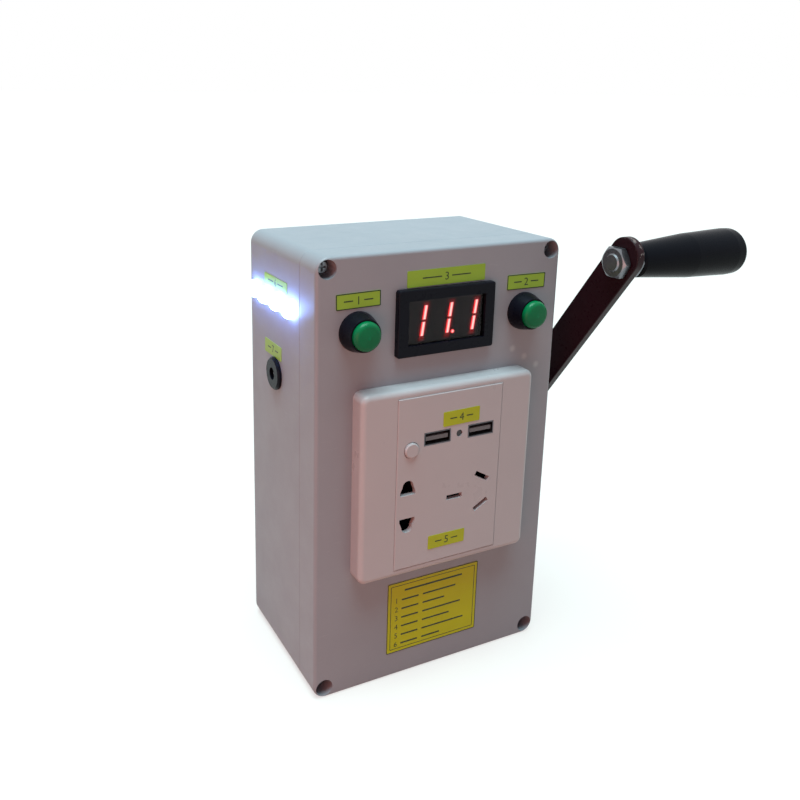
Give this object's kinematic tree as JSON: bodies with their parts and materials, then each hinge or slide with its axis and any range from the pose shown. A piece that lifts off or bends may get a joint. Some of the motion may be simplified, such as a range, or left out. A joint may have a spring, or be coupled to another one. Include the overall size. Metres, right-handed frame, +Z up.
{
  "type": "hand crank generator",
  "caption": "Hand crank generator in a plastic case with a wall-socket module, USB sockets, panel voltmeter, push buttons, lamps and a DC jack.",
  "frame": {"origin": "centre of the case's bottom face", "axes": "+Z up, -Y out of the front panel, +X towards the crank"},
  "size_m": [0.2093, 0.1061, 0.2028],
  "materials": {
    "grey_abs": "satin moulded ABS",
    "seal_rubber": "matt",
    "zinc_steel": "zinc plated",
    "black_abs": "semi-gloss",
    "meter_pane": "tinted clear plastic",
    "display_black": "matt",
    "digit_red": "lit",
    "contact_brass": "bright",
    "spring_steel": "plain",
    "green_plastic": "glossy",
    "white_pc": "semi-gloss",
    "housing_black": "dark moulded, matt",
    "shell_steel": "nickel plated",
    "tongue_plastic": "matt",
    "board_green": "solder resist",
    "indicator_smoked": "smoked, unlit",
    "lamp_lens": "clear, lit white",
    "bush_bronze": "sintered",
    "shaft_steel": "ground",
    "plate_steel": "rolled sheet",
    "ferrite": "sintered",
    "cell_sleeve": "shrink sleeve",
    "sink_aluminium": "extruded",
    "arm_paint": "gloss black",
    "grip_bakelite": "polished bakelite",
    "armature_steel": "laminated"
  },
  "bodies": {
    "enclosure": {"enclosure_base": "grey_abs", "enclosure_lid": "grey_abs", "lid_gasket": "seal_rubber", "lid_screws": "zinc_steel", "machine_screws": "zinc_steel", "meter_housing": "black_abs", "meter_window": "meter_pane", "meter_display": "display_black", "meter_digits": "digit_red", "left_button_bezel": "black_abs", "left_button_nut": "black_abs", "left_button_blades": "contact_brass", "left_button_spring": "spring_steel", "right_button_bezel": "black_abs", "right_button_nut": "black_abs", "right_button_blades": "contact_brass", "right_button_spring": "spring_steel", "socket_frame": "white_pc", "socket_insert": "white_pc", "socket_housing": "housing_black", "socket_contacts": "contact_brass", "socket_screws": "zinc_steel", "usb_shells": "shell_steel", "usb_tongues": "tongue_plastic", "usb_board": "board_green", "usb_indicator": "indicator_smoked", "lamp_leds": "lamp_lens", "lamp_board": "board_green", "dc_jack_body": "black_abs", "dc_jack_pin": "shell_steel", "dc_jack_nut": "zinc_steel", "crank_bushing": "bush_bronze", "idler_shaft": "shaft_steel", "gearbox_plate_outer": "plate_steel", "gearbox_plate_inner": "plate_steel", "gearbox_spacers": "contact_brass", "generator_can": "plate_steel", "generator_end_cap": "plate_steel", "generator_magnets": "ferrite", "battery_cells": "cell_sleeve", "battery_holder": "black_abs", "inverter_board": "board_green", "inverter_transformer": "ferrite", "inverter_heatsink": "sink_aluminium"},
    "crank": {"crank_shaft": "zinc_steel", "crank_gear": "shaft_steel", "crank_hub": "zinc_steel", "crank_arm": "arm_paint", "crank_nuts": "zinc_steel", "handle_spindle": "zinc_steel"},
    "grip": {"handle_grip": "grip_bakelite", "grip_retainer": "spring_steel"},
    "idler": {"idler_gear": "shaft_steel"},
    "rotor": {"rotor_shaft": "shaft_steel", "rotor_pinion": "contact_brass", "rotor_armature": "armature_steel"},
    "left_button": {"left_button_cap": "green_plastic"},
    "right_button": {"right_button_cap": "green_plastic"},
    "usb_button": {"usb_button_cap": "white_pc"}
  },
  "joints": [
    {"name": "crank_spin", "type": "hinge", "parent": "enclosure", "child": "crank", "pos_m": [0.07, -0.00497, 0.1186], "axis": [1, 0, 0], "continuous": true},
    {"name": "grip_spin", "type": "hinge", "parent": "crank", "child": "grip", "pos_m": [0.117, -0.05774, 0.1915], "axis": [1, 0, 0], "continuous": true},
    {"name": "idler_spin", "type": "hinge", "parent": "enclosure", "child": "idler", "pos_m": [0.045, 0.0141, 0.13577], "axis": [1, 0, 0], "continuous": true},
    {"name": "rotor_spin", "type": "hinge", "parent": "enclosure", "child": "rotor", "pos_m": [0.01, 0.0141, 0.11491], "axis": [1, 0, 0], "continuous": true},
    {"name": "left_button_press", "type": "slide", "parent": "enclosure", "child": "left_button", "axis": [0, 1, 0], "range_m": [0, 0.0025], "stiffness_N_per_m": 500, "springref_m": -0.002, "deforming": ["left_button_spring"]},
    {"name": "right_button_press", "type": "slide", "parent": "enclosure", "child": "right_button", "axis": [0, 1, 0], "range_m": [0, 0.0025], "stiffness_N_per_m": 500, "springref_m": -0.002, "deforming": ["right_button_spring"]},
    {"name": "usb_button_press", "type": "slide", "parent": "enclosure", "child": "usb_button", "axis": [0, 1, 0], "range_m": [0, 0.0008], "stiffness_N_per_m": 400, "springref_m": -0.001}
  ],
  "couplings": [
    {"joint": "idler_spin", "follows": "crank_spin", "ratio": -3.5714},
    {"joint": "rotor_spin", "follows": "crank_spin", "ratio": 11.905}
  ]
}
